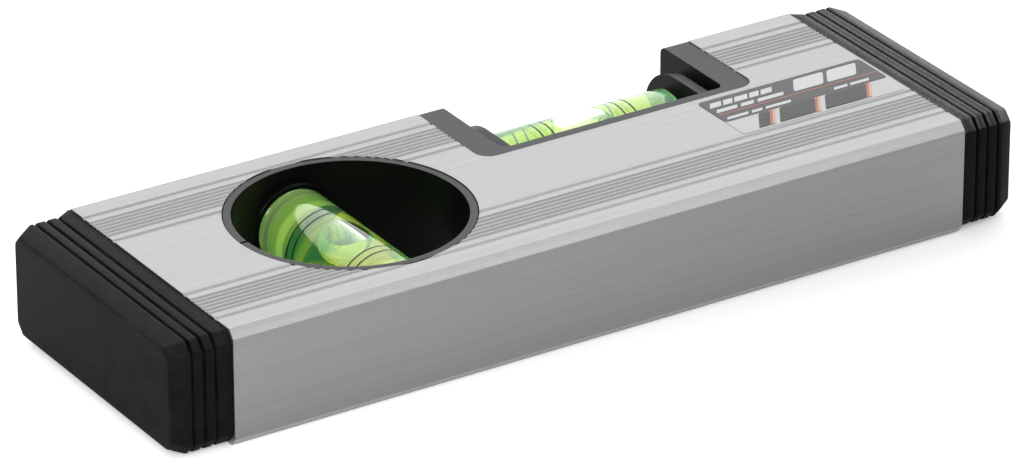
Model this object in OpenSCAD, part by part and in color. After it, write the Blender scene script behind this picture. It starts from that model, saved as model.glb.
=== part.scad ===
// Box beam level, 150 mm class, lying on its broad face.
// X runs along the length, Y from the measuring face (-Y) to the notched edge (+Y), Z up.
// Origin: bottom centre of the bounding box. All sizes in mm.

/* [Node] */
// Sub-part to draw on its own, or all of them
// Circle resolution used by the preview
curve_fn = 96; // [48:8:160]

/* [Beam] */
// Length over both end caps
overall_l = 150; // [140:1:220]
// Width from measuring face to notched edge
beam_w = 49; // [45:0.5:56]
// Thickness between the broad faces
beam_t = 19; // [18.5:0.5:24]
// Wall of the hollow section
wall = 1.8; // [1.4:0.1:2]
// Corner chamfer, leg on the broad face
edge_y = 1.15; // [0.6:0.05:1.6]
// Corner chamfer, leg on the narrow face
edge_z = 1.35; // [0.6:0.05:1.8]
// Chamfer in the corners of the hollow
hollow_c = 1.0; // [0.5:0.1:1.5]
// Offset of the inner wide groove from the centre line
wide_in = 10.45; // [9.8:0.05:11]
// Distance from a wide groove to the nearest fine one
wide_gap = 1.95; // [1:0.05:2.2]
// Pitch of the fine grooves
fine_pitch = 1.02; // [0.9:0.01:1.06]
// Number of fine grooves in each band
fine_n = 6; // [3:1:6]
// Mouth width of the wide grooves
wide_w = 0.9; // [0.6:0.05:1.1]
// Floor width of the wide grooves
wide_floor = 0.5; // [0.2:0.05:0.6]
// Mouth width of the fine grooves
fine_w = 0.86; // [0.5:0.02:0.88]
// Depth of all the grooves
groove_d = 0.2; // [0.15:0.05:0.6]

/* [End caps] */
// Length of each cap beyond the beam
cap_l = 10; // [10:0.5:14]
// Step in of the cap below the beam's skin
cap_in = 0.3; // [0.1:0.05:0.6]
// Cap corner chamfer, leg on the broad face
cap_cy = 1.6; // [0.8:0.05:2.2]
// Cap corner chamfer, leg on the narrow face
cap_cz = 1.45; // [0.8:0.05:2.2]
// First groove centre from the beam end
cap_g1 = 2.75; // [2:0.05:3]
// Pitch of the three cap grooves
cap_gp = 1.95; // [1.6:0.05:2.1]
// Groove mouth width
cap_gw = 0.75; // [0.6:0.05:1.2]
// Groove floor width
cap_gf = 0.3; // [0.2:0.05:0.5]
// Groove depth
cap_gd = 0.5; // [0.3:0.05:1.2]
// Length of the taper towards the end face
taper_l = 2.6; // [1.6:0.1:2.8]
// Step in across the taper, width direction
taper_y = 1.25; // [0.5:0.05:2]
// Step in across the taper, thickness direction
taper_z = 1.0; // [0.4:0.05:1.6]
// Softened edge around the end face
end_soft = 0.45; // [0.2:0.05:0.8]
// Depth of the plug inside the beam
plug_l = 8; // [5:0.5:10]
// Wall of the hollow plug
plug_wall = 2.2; // [1.5:0.1:3]
// Clearance between plug and beam hollow
plug_clear = 0.1; // [0.05:0.05:0.3]

/* [Plumb window] */
// Distance from the beam's end to the window centre
window_end = 34.65; // [31:0.05:36]
// Metal left between the window and the narrow faces
window_edge = 5.25; // [4.6:0.05:8]
// Step of the liner rim below the broad face
liner_in = 0.15; // [0:0.05:0.6]
// Dark gap between the liner's rim and the window
rim_gap = 0.15; // [0.1:0.05:0.8]
// Width of the liner's rim
rim_w = 1.2; // [0.7:0.05:1.4]
// Depth of the relieved rim
rim_h = 0.9; // [0.5:0.1:1.2]
// Clearance between liner and window
liner_clear = 0.05; // [0:0.05:0.2]
// Gap of the split in the liner
split_w = 0.5; // [0.2:0.05:0.8]
// Dark gap round each vial end
socket_gap = 0.35; // [0.3:0.05:0.8]
// Gap between a vial end and the floor of its socket
socket_floor = 0.3; // [0.1:0.05:0.5]
// Reach of the socket's lip past the vial end
lip_in = 0.25; // [0.1:0.05:0.6]
// Width of the socket's lip
lip_w = 0.45; // [0.4:0.05:0.8]
// Softened outer edge of the lip
lip_soft = 0.2; // [0.1:0.05:0.3]
// Distance from the window's edge to the vial's end
vial_back = 2.55; // [2.3:0.05:3]

/* [Vials] */
// Outer radius of both vials
vial_r = 6.4; // [5.8:0.1:6.6]
// Bore radius at mid length
bore_mid = 5; // [4.4:0.1:5.2]
// Bore radius at the bore ends
bore_end = 4.6; // [4.2:0.1:4.8]
// Acrylic left between each bore end and vial end
bore_wall = 1.8; // [1:0.1:2.5]
// Softened ends of the vial bodies
vial_soft = 0.5; // [0.2:0.05:0.8]
// Radius of the vial pins
pin_r = 3; // [2:0.1:3.4]
// Reach of a pin into its seat
pin_in = 1.2; // [0.8:0.1:1.4]
// Clearance around a pin
pin_clear = 0.05; // [0.02:0.01:0.1]
// Inner indicator rings of the plumb vial, from mid length
plumb_ring_a = 6.65; // [5:0.05:7.2]
// Outer indicator rings of the plumb vial, from mid length
plumb_ring_b = 8.3; // [7.6:0.05:10]
// Inner indicator rings of the level vial, from mid length
level_ring_a = 6.55; // [5:0.05:7.2]
// Outer indicator rings of the level vial, from mid length
level_ring_b = 8.5; // [7.6:0.05:10]
// Width of an indicator ring
ring_w = 0.25; // [0.15:0.05:0.5]
// Depth of an indicator ring in the acrylic
ring_d = 0.15; // [0.1:0.05:0.25]
// Half length of the level bubble
level_bubble = 5.9; // [3.5:0.1:6.2]
// Place of the level bubble along its vial
level_bubble_at = -0.1; // [-1:0.1:1]
// Half length of the plumb bubble
plumb_bubble = 5.3; // [3.5:0.1:5.6]
// Place of the plumb bubble along its vial
plumb_bubble_at = 1; // [-1:0.1:1.2]
// Cross-section radius of the level bubble
level_bubble_r = 3.8; // [2.5:0.1:4]
// Cross-section radius of the plumb bubble
plumb_bubble_r = 3; // [2:0.1:3.2]
// Height of the level bubble's axis above its vial axis
level_bubble_up = 2.4; // [2:0.1:3]
// Height of the plumb bubble's axis above its vial axis
plumb_bubble_up = 3; // [2.6:0.1:3.4]

/* [Notch and cradle] */
// Notch centre from mid length
notch_x = 21; // [18:0.5:24]
// Notch width
notch_w = 50.1; // [46:0.1:52]
// Depth of the notch below the notched edge
notch_d = 19.95; // [18:0.05:21]
// Corner radius at the notch floor
notch_r = 2.6; // [1.5:0.1:3.5]
// Clearance between cradle and notch sides
cradle_clear = 0.05; // [0.05:0.05:0.2]
// Step in of the cradle below the beam's skin
cradle_in = 0.15; // [0.05:0.05:0.5]
// Width of the cradle's side bands
side_w = 4.7; // [3.5:0.1:6]
// Height of the cradle's floor rail
rail_h = 2; // [1.5:0.05:3]
// Inner corner radius at the rail
opening_r = 1.3; // [0.6:0.1:1.6]
// Rounding of the cradle's two long outer edges
edge_r = 1.25; // [0.6:0.05:1.8]
// Depth of the level vial's axis below the notched edge
level_in = 9.4; // [9:0.05:10.5]
// Place of the level vial's middle along the notch, from the notch centre
level_at = -0.45; // [-0.8:0.05:0.8]
// Mean distance from an arch's face to the side band behind it
arch_off = 3.1; // [2.6:0.05:4]
// Gap between the vial end and an arch
arch_gap = 0.8; // [0.7:0.05:1.6]
// Thickness of the arches
arch_t = 2.3; // [1.8:0.1:2.5]
// Radius of an arch at its face towards the vial
arch_r = 8.4; // [8:0.05:8.8]
// Draft of an arch over its thickness
arch_draft = 0.45; // [0:0.05:0.6]
// Radius of the web that ties each arch to its side band
web_r = 4.5; // [4:0.1:6.5]
// Gap between each end of the hidden tongue and the notch ends
tongue_in = 7; // [5:0.5:15]
// Reach of the tongue into the beam
tongue_d = 3; // [1:0.5:4]

/* [Label] */
// Label length
label_l = 30.3; // [24:0.1:32]
// Label height
label_h = 12.9; // [8:0.1:13.4]
// Distance from the beam's end to the label
label_end = 0.5; // [0.2:0.05:3]
// Distance from the notch floor to the label
label_gap = 1.2; // [0.6:0.05:1.4]
// Film thickness
label_t = 0.1; // [0.05:0.01:0.2]

/* [Hidden] */
$fn = curve_fn;
beam_l = overall_l - 2 * cap_l;
fine_first = wide_in + wide_gap;
wide_out = fine_first + (fine_n - 1) * fine_pitch + wide_gap;
axis_z = beam_t / 2;
over = 1;
bore_steps = 10;
window_x = window_end - beam_l / 2;
window_r = beam_w / 2 - window_edge;
rim_r = window_r - rim_gap;
liner_ri = rim_r - rim_w;
socket_r = vial_r + socket_gap;
plumb_half = window_r - vial_back;
plumb_bore = plumb_half - bore_wall;
notch_y = beam_w / 2 - notch_d;
rail_y = notch_y + rail_h;
level_x = notch_x + level_at;
level_y = beam_w / 2 - level_in;
opening_w = notch_w - 2 * side_w;
arch_x = opening_w / 2 - arch_off;
level_half = arch_x - arch_gap;
level_bore = level_half - bore_wall;
plumb_pin = socket_floor + pin_in;
level_pin = arch_gap + pin_in;
plumb_rings = [-plumb_ring_b, -plumb_ring_a, plumb_ring_a, plumb_ring_b];
level_rings = [-level_ring_b, -level_ring_a, level_ring_a, level_ring_b];

// Closed outline of a chamfered rectangle in (Y, Z): half width h, bottom b, top t, chamfer legs cy, cz
function octagon(h, b, t, cy, cz) = [[h, b + cz], [h, t - cz], [h - cy, t], [cy - h, t],
    [-h, t - cz], [-h, b + cz], [cy - h, b], [h - cy, b]];

// Outline points of one groove in the top face, running towards -Y
function groove(c, mouth, floor_w) = [[c + mouth / 2, beam_t], [c + floor_w / 2, beam_t - groove_d],
    [c - floor_w / 2, beam_t - groove_d], [c - mouth / 2, beam_t]];
function vee(c) = [[c + fine_w / 2, beam_t], [c, beam_t - groove_d], [c - fine_w / 2, beam_t]];

// Top face of the beam outline, from +Y to -Y
function band(s) = s > 0
    ? concat(groove(wide_out, wide_w, wide_floor),
        [for (i = [fine_n - 1:-1:0]) each vee(fine_first + i * fine_pitch)],
        groove(wide_in, wide_w, wide_floor))
    : concat(groove(-wide_in, wide_w, wide_floor),
        [for (i = [0:fine_n - 1]) each vee(-fine_first - i * fine_pitch)],
        groove(-wide_out, wide_w, wide_floor));
top_line = concat([[beam_w / 2 - edge_y, beam_t]], band(1), band(-1), [[edge_y - beam_w / 2, beam_t]]);
beam_line = concat([[beam_w / 2, edge_z], [beam_w / 2, beam_t - edge_z]], top_line,
    [[-beam_w / 2, beam_t - edge_z], [-beam_w / 2, edge_z]],
    [for (i = [len(top_line) - 1:-1:0]) [top_line[i][0], beam_t - top_line[i][1]]]);

// Barrel bore radius at distance s from mid length, half length b
function bore_at(s, b) = bore_mid - (bore_mid - bore_end) * pow(s / b, 2);

// Prism along X of an outline given in (Y, Z)
module prism(x0, x1, pts) {
    translate([x0, 0, 0]) rotate([90, 0, 90]) linear_extrude(x1 - x0) polygon(pts);
}

// Closed skin through a row of outlines, levels = [[x, step in Y, step in Z], ...]
module loft(levels) {
    rows = [for (l = levels) [for (p = octagon(beam_w / 2 - l[1], l[2], beam_t - l[2], cap_cy, cap_cz))
        [l[0], p[0], p[1]]]];
    n = 8;
    m = len(levels);
    polyhedron(points = [for (r = rows) each r],
        faces = concat([[for (j = [0:n - 1]) j]], [[for (j = [n - 1:-1:0]) (m - 1) * n + j]],
            [for (i = [0:m - 2], j = [0:n - 1])
                [i * n + j, (i + 1) * n + j, (i + 1) * n + (j + 1) % n, i * n + (j + 1) % n]]));
}

// Hollow aluminium section with ribbed bands, round window and edge notch
module beam() {
    color([0.80, 0.81, 0.80])
    difference() {
        prism(-beam_l / 2, beam_l / 2, beam_line);
        prism(-beam_l / 2 - over, beam_l / 2 + over,
            octagon(beam_w / 2 - wall, wall, beam_t - wall, hollow_c, hollow_c));
        translate([window_x, 0, -over]) cylinder(r = window_r, h = beam_t + 2 * over);
        translate([notch_x, 0, -over]) linear_extrude(beam_t + 2 * over)
            notch_outline(notch_w / 2, notch_y, beam_w / 2 + over, notch_r);
    }
}

// Notch plan: half width h, floor y0, top y1, floor corner radius r
module notch_outline(h, y0, y1, r) {
    difference() {
        translate([-h, y0]) square([2 * h, y1 - y0]);
        for (s = [-1, 1]) difference() {
            translate([s * (h - r / 2), y0 + r / 2]) square([r + 0.002, r + 0.002], center = true);
            translate([s * (h - r), y0 + r]) circle(r = r);
        }
    }
}

// Grooved rubber cap, drawn for the +X end
module end_cap() {
    x0 = beam_l / 2;
    mid = [for (k = [0:2]) each [
        [x0 + cap_g1 + k * cap_gp - cap_gw / 2, cap_in, cap_in],
        [x0 + cap_g1 + k * cap_gp - cap_gf / 2, cap_in + cap_gd, cap_in + cap_gd],
        [x0 + cap_g1 + k * cap_gp + cap_gf / 2, cap_in + cap_gd, cap_in + cap_gd],
        [x0 + cap_g1 + k * cap_gp + cap_gw / 2, cap_in, cap_in]]];
    loft(concat([[x0, cap_in, cap_in]], mid, [
        [x0 + cap_l - taper_l, cap_in, cap_in],
        [x0 + cap_l - end_soft, cap_in + taper_y * (1 - end_soft / taper_l),
            cap_in + taper_z * (1 - end_soft / taper_l)],
        [x0 + cap_l, cap_in + taper_y + end_soft / 2, cap_in + taper_z + end_soft / 2]]));
    difference() {
        prism(x0 - plug_l, x0 + cap_in, octagon(beam_w / 2 - wall - plug_clear, wall + plug_clear,
            beam_t - wall - plug_clear, hollow_c + plug_clear, hollow_c + plug_clear));
        prism(x0 - plug_l - over, x0 - plug_wall, octagon(beam_w / 2 - wall - plug_clear - plug_wall,
            wall + plug_clear + plug_wall, beam_t - wall - plug_clear - plug_wall, 1, 1));
    }
}

module left_end_cap() { color([0.13, 0.13, 0.14]) mirror([1, 0, 0]) end_cap(); }
module right_end_cap() { color([0.13, 0.13, 0.14]) end_cap(); }

// Half of the black window liner with its lipped blind socket and pin seat, drawn for the +Y side
module liner_half() {
    lip_y = plumb_half - lip_in;
    difference() {
        union() {
            translate([window_x, 0, liner_in]) difference() {
                union() {
                    cylinder(r = rim_r, h = beam_t - 2 * liner_in);
                    translate([0, 0, rim_h])
                        cylinder(r = window_r - liner_clear, h = beam_t - 2 * (liner_in + rim_h));
                }
                translate([0, 0, -over]) cylinder(r = liner_ri, h = beam_t + 2 * over);
            }
            translate([window_x, lip_y, axis_z]) rotate([-90, 0, 0]) {
                cylinder(r1 = socket_r + lip_w - lip_soft, r2 = socket_r + lip_w, h = lip_soft);
                translate([0, 0, lip_soft])
                    cylinder(r = socket_r + lip_w, h = lip_in + socket_floor + lip_w - lip_soft);
            }
        }
        translate([window_x, 0, axis_z]) rotate([-90, 0, 0]) {
            cylinder(r = socket_r, h = plumb_half + socket_floor);
            cylinder(r = pin_r + pin_clear, h = plumb_half + plumb_pin);
        }
        translate([window_x - 2 * window_r, -2 * window_r, -over])
            cube([4 * window_r, 2 * window_r, beam_t + 2 * over]);
        translate([window_x - 2 * window_r, -over, -over])
            cube([2 * window_r, over + split_w / 2, beam_t + 2 * over]);
    }
}

module plumb_liner_far() { color([0.16, 0.16, 0.17]) liner_half(); }
module plumb_liner_near() { color([0.16, 0.16, 0.17]) mirror([0, 1, 0]) liner_half(); }

// Vial pieces are drawn along Z with the bubble towards -Y, then placed
module at_plumb() { translate([window_x, 0, axis_z]) rotate([-90, 0, 0]) children(); }
module at_level() { translate([level_x, level_y, axis_z]) rotate([0, 90, 0]) rotate([0, 0, -90]) children(); }

// Solid of revolution filling the barrel bore of half length b
module bore_solid(b) {
    rotate_extrude() polygon(concat([[0, -b]],
        [for (i = [0:bore_steps]) let (s = -b + 2 * b * i / bore_steps) [bore_at(s, b), s]], [[0, b]]));
}

// Clear body: barrel bore, open at +Z for the plug, four ring seats and a pin at -Z
module vial_body(half, b, pin, rings) {
    difference() {
        union() {
            rotate_extrude() polygon([[0, -half], [vial_r - vial_soft, -half], [vial_r, vial_soft - half],
                [vial_r, half - vial_soft], [vial_r - vial_soft, half], [0, half]]);
            translate([0, 0, -half - pin]) cylinder(r = pin_r, h = pin + vial_soft);
        }
        bore_solid(b);
        cylinder(r = bore_end, h = half + over);
        for (s = rings) translate([0, 0, s - ring_w / 2]) difference() {
            cylinder(r = vial_r + over, h = ring_w);
            translate([0, 0, -over]) cylinder(r = vial_r - ring_d, h = ring_w + 2 * over);
        }
    }
}

// Liquid of bore half length b, with the bubble as a pocket in its top: half length, radius, height, place
module vial_liquid(b, bubble, r, up, at) {
    difference() {
        bore_solid(b);
        translate([0, -up, at]) rotate_extrude() polygon(concat([[0, -bubble]],
            [for (i = [1:7]) let (a = 180 * i / 8) [r * sin(a), -bubble * cos(a)]],
            [[0, bubble]]));
    }
}

// End plug closing the bore, with its pin
module vial_plug(half, b, pin) {
    translate([0, 0, b]) cylinder(r = bore_end, h = half - b);
    translate([0, 0, half - vial_soft]) cylinder(r = pin_r, h = vial_soft + pin);
}

// One dark indicator ring at a distance from mid length
module vial_ring(at) {
    translate([0, 0, at - ring_w / 2]) difference() {
        cylinder(r = vial_r, h = ring_w);
        translate([0, 0, -over]) cylinder(r = vial_r - ring_d, h = ring_w + 2 * over);
    }
}

clear_green = [0.75, 0.95, 0.70, 0.4];
liquid_green = [0.60, 0.90, 0.20, 0.6];
plug_green = [0.70, 0.80, 0.35, 0.6];
ring_black = [0.05, 0.08, 0.05];

module plumb_vial_body() {
    color(clear_green) at_plumb() vial_body(plumb_half, plumb_bore, plumb_pin, plumb_rings);
}
module plumb_vial_liquid() {
    color(liquid_green) at_plumb()
        vial_liquid(plumb_bore, plumb_bubble, plumb_bubble_r, plumb_bubble_up, plumb_bubble_at);
}
module plumb_vial_plug() { color(plug_green) at_plumb() vial_plug(plumb_half, plumb_bore, plumb_pin); }
module plumb_ring_1() { color(ring_black) at_plumb() vial_ring(plumb_rings[0]); }
module plumb_ring_2() { color(ring_black) at_plumb() vial_ring(plumb_rings[1]); }
module plumb_ring_3() { color(ring_black) at_plumb() vial_ring(plumb_rings[2]); }
module plumb_ring_4() { color(ring_black) at_plumb() vial_ring(plumb_rings[3]); }
module level_vial_body() {
    color(clear_green) at_level() vial_body(level_half, level_bore, level_pin, level_rings);
}
module level_vial_liquid() {
    color(liquid_green) at_level()
        vial_liquid(level_bore, level_bubble, level_bubble_r, level_bubble_up, level_bubble_at);
}
module level_vial_plug() { color(plug_green) at_level() vial_plug(level_half, level_bore, level_pin); }
module level_ring_1() { color(ring_black) at_level() vial_ring(level_rings[0]); }
module level_ring_2() { color(ring_black) at_level() vial_ring(level_rings[1]); }
module level_ring_3() { color(ring_black) at_level() vial_ring(level_rings[2]); }
module level_ring_4() { color(ring_black) at_level() vial_ring(level_rings[3]); }

// Cradle section in (Y, Z), rounded at both outer edges: reach h, bottom b, top t, radius r
function rounded(h, b, t, r) = concat(
    [for (a = [0:15:90]) [h - r + r * cos(a), t - r + r * sin(a)]], [[0, t], [0, b]],
    [for (a = [-90:15:0]) [h - r + r * cos(a), b + r + r * sin(a)]]);

// Black cradle that lines the notch and carries the level vial between two arches
module level_cradle() {
    edge = beam_w / 2 - cradle_in;
    tongue_l = notch_w - 2 * tongue_in;
    color([0.17, 0.17, 0.18])
    difference() {
        union() {
            intersection() {
                translate([notch_x, 0, 0]) linear_extrude(beam_t) difference() {
                    notch_outline(notch_w / 2 - cradle_clear, notch_y, edge, notch_r);
                    notch_outline(opening_w / 2, rail_y, edge + over, opening_r);
                }
                prism(notch_x - notch_w, notch_x + notch_w,
                    rounded(edge, cradle_in, beam_t - cradle_in, edge_r));
            }
            translate([notch_x - tongue_l / 2, notch_y - tongue_d, wall + plug_clear])
                cube([tongue_l, tongue_d + 1, beam_t - 2 * (wall + plug_clear)]);
            for (s = [0, 1]) translate([level_x, 0, 0]) mirror([s, 0, 0]) arch();
        }
        translate([level_x, level_y, axis_z]) rotate([0, 90, 0])
            cylinder(r = pin_r + pin_clear, h = 2 * (arch_x + pin_in), center = true);
    }
}

// One arch plate with draft, legs down to the rail and a tie web, drawn at +X
module arch() {
    translate([arch_x, level_y, axis_z]) rotate([0, 90, 0]) {
        cylinder(r1 = arch_r, r2 = arch_r - arch_draft, h = arch_t);
        cylinder(r = web_r, h = arch_off + abs(level_at) + over);
    }
    polyhedron(
        points = [for (e = [0, 1], p = [[rail_y - 1, -1], [level_y, -1], [level_y, 1], [rail_y - 1, 1]])
            [arch_x + e * arch_t, p[0], axis_z + p[1] * (arch_r - e * arch_draft)]],
        faces = [[0, 1, 2, 3], [7, 6, 5, 4], [0, 4, 5, 1], [1, 5, 6, 2], [2, 6, 7, 3], [3, 7, 4, 0]]);
}

// Film label on the flat field of the broad face
module rating_label() {
    color([0.38, 0.38, 0.40])
    translate([beam_l / 2 - label_end - label_l, notch_y - label_gap - label_h, beam_t])
        cube([label_l, label_h, label_t]);
}

beam();
left_end_cap();
right_end_cap();
plumb_liner_near();
plumb_liner_far();
plumb_vial_body();
plumb_vial_liquid();
plumb_vial_plug();
plumb_ring_1();
plumb_ring_2();
plumb_ring_3();
plumb_ring_4();
level_cradle();
level_vial_body();
level_vial_liquid();
level_vial_plug();
level_ring_1();
level_ring_2();
level_ring_3();
level_ring_4();
rating_label();
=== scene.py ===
"""Looks of a box beam level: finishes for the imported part, its vials, caps and label, and a plain studio."""
import logging
import math
from dataclasses import dataclass
from enum import Enum

import bpy
from mathutils import Matrix, Vector


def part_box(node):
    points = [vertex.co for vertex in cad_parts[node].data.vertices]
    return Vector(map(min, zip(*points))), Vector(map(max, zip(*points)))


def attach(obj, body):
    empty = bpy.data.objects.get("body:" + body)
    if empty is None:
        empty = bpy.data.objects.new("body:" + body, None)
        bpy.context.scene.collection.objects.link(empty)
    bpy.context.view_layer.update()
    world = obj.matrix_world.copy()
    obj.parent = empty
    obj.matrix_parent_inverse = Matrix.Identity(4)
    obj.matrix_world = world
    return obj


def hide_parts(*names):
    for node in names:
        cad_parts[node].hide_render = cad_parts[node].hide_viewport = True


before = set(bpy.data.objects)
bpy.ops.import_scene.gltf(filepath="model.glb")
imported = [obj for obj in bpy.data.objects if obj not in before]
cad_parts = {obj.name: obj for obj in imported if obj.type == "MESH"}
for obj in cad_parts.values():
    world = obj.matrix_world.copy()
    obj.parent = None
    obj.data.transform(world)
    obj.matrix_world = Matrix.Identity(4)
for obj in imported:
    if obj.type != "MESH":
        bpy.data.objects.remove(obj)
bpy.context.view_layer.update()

MM = 0.001
BODY = "root"
X, Y, Z = range(3)
ACRYLIC_IOR = 1.49
SMOOTH_ANGLE = math.radians(32)
WELD = 1e-7
log = logging.getLogger("box_beam_level")

Colour = tuple[float, float, float]
Triple = tuple[float, float, float]
Span = tuple[float, float]
Profile = list[tuple[float, float]]
Box = tuple[float, float, float, float]
Socket = bpy.types.NodeSocket
Inputs = dict[str | int, object]


class Side(Enum):
    """End of the beam that a cap closes."""

    LEFT = "left"
    RIGHT = "right"


class Run(Enum):
    """Way that a vial runs, with the first word of its nodes' names."""

    ACROSS = "plumb"
    ALONG = "level"

    @property
    def axis(self) -> int:
        """Axis of the tool that the vial lies along."""
        return Y if self is Run.ACROSS else X

    def turn(self) -> Matrix:
        """Rotation from the vial's own axes, +Z along it and -Y towards the bubble."""
        if self is Run.ACROSS:
            return Matrix.Rotation(math.radians(-90), 4, "X")
        return Matrix.Rotation(math.radians(90), 4, "Y") @ Matrix.Rotation(math.radians(-90), 4, "Z")


class NodeBoard:
    """Node tree of a material or of the sky, with short calls to add and link nodes."""

    def __init__(self, owner: bpy.types.Material | bpy.types.World) -> None:
        """Empties the tree but for a new output.

        Args:
            owner: The material or the world.
        """
        owner.use_nodes = True
        self.tree = owner.node_tree
        self.tree.nodes.clear()
        self.output = self.add("OutputWorld" if isinstance(owner, bpy.types.World) else "OutputMaterial")

    def add(self, kind: str, inputs: Inputs | None = None, **settings: object) -> bpy.types.Node:
        """Adds a node, sets its properties and fills its sockets.

        Args:
            kind: Node type without the ShaderNode prefix.
            inputs: Name or number of a socket to a constant, or to an output socket to link.
            settings: Properties of the node itself.

        Returns:
            The new node.
        """
        node = self.tree.nodes.new("ShaderNode" + kind)
        for key, value in settings.items():
            setattr(node, key, value)
        for key, value in (inputs or {}).items():
            if isinstance(value, Socket):
                self.tree.links.new(value, node.inputs[key])
            else:
                node.inputs[key].default_value = value
        return node

    def object_coordinates(self, scale: Triple) -> Socket:
        """Place on the piece in metres, times a scale along X, Y and Z."""
        place = self.add("TexCoord").outputs["Object"]
        return self.add("Mapping", {"Vector": place, "Scale": scale}).outputs["Vector"]

    def place(self, axis: int) -> Socket:
        """Place on the piece along X, Y or Z, in metres."""
        return self.add("SeparateXYZ", {0: self.object_coordinates((1.0, 1.0, 1.0))}).outputs[axis]

    def facing(self, axis: int) -> Socket:
        """Part of the surface's own normal along X, Y or Z."""
        return self.add("SeparateXYZ", {0: self.add("NewGeometry").outputs["Normal"]}).outputs[axis]

    def noise(self, scale: Triple | float, detail: float = 3.0, roughness: float = 0.5) -> Socket:
        """Grey noise over the piece.

        Args:
            scale: Cycles per metre, one figure or one each along X, Y and Z.
            detail: Octaves of the noise.
            roughness: Weight of the finer octaves.

        Returns:
            The value socket.
        """
        stretch = scale if isinstance(scale, tuple) else (scale, scale, scale)
        return self.add("TexNoise", {"Vector": self.object_coordinates(stretch), "Scale": 1.0,
                                     "Detail": detail, "Roughness": roughness}).outputs["Fac"]

    def maths(self, operation: str, *values: Socket | float) -> Socket:
        """Result of one Math node on one or two grey values."""
        return self.add("Math", dict(enumerate(values)), operation=operation).outputs[0]

    def span(self, value: Socket, low: float, high: float, source: Span = (0.3, 0.7),
             curve: str = "LINEAR") -> Socket:
        """Maps a grey value to a range.

        Args:
            value: Socket to map.
            low: Result at the low end.
            high: Result at the high end.
            source: Values that map to low and high.
            curve: Way of the change between them.

        Returns:
            The mapped value socket.
        """
        ends = {"From Min": source[0], "From Max": source[1], "To Min": low, "To Max": high}
        return self.add("MapRange", {"Value": value, **ends}, interpolation_type=curve).outputs["Result"]

    def mix(self, amount: Socket, dark: Colour | Socket, light: Colour) -> Socket:
        """Mixes two colours by a grey value.

        Args:
            amount: Share of the light colour.
            dark: Colour at nought, or its socket.
            light: Colour at one.

        Returns:
            The colour socket.
        """
        first = dark if isinstance(dark, Socket) else (*dark, 1.0)
        return self.add("Mix", {0: amount, 6: first, 7: (*light, 1.0)}, data_type="RGBA").outputs[2]

    def soft_edges(self, radius: float) -> Socket:
        """Normal that rounds the sharp edges of a piece by a small radius in metres."""
        return self.add("Bevel", {"Radius": radius}, samples=6).outputs["Normal"]

    def edge_mask(self, radius: float, share: float, turn: Span = (0.80, 0.98)) -> Socket:
        """Grey value that rises on the sharp edges of a piece, up to a share.

        Args:
            radius: Reach of an edge in metres.
            share: Value on the edge itself.
            turn: Cosine between the true and the rounded normal on an edge, and where the edge ends.

        Returns:
            The value socket.
        """
        flat = self.add("NewGeometry").outputs["Normal"]
        cosine = self.add("VectorMath", {0: flat, 1: self.soft_edges(radius)}, operation="DOT_PRODUCT")
        return self.span(cosine.outputs["Value"], share, 0.0, turn)

    def bump(self, height: Socket, depth: float, normal: Socket | None = None) -> Socket:
        """Surface relief.

        Args:
            height: Grey relief.
            depth: Height of the relief in metres.
            normal: Normal that the relief stands on, or none for the mesh's own.

        Returns:
            The normal socket.
        """
        inputs: Inputs = {"Height": height, "Distance": depth, "Strength": 1.0}
        if normal is not None:
            inputs["Normal"] = normal
        return self.add("Bump", inputs).outputs["Normal"]

    def hand_over(self, shader: bpy.types.Node, use: str = "Surface") -> None:
        """Joins a shader to the output, as its surface or its volume."""
        self.tree.links.new(shader.outputs[0], self.output.inputs[use])

    def shade(self, inputs: Inputs) -> None:
        """Adds the surface shader."""
        self.hand_over(self.add("BsdfPrincipled", inputs))


@dataclass(frozen=True)
class Finish:
    """Base of every finish.

    Args:
        name: Name of the finish.
    """

    name: str

    def build(self) -> bpy.types.Material:
        """Makes the material.

        Returns:
            The material, ready to put on a piece.
        """
        material = bpy.data.materials.new(self.name)
        self.paint(NodeBoard(material))
        return material

    def paint(self, board: NodeBoard) -> None:
        """Wires the finish on an empty board."""
        raise NotImplementedError


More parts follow.
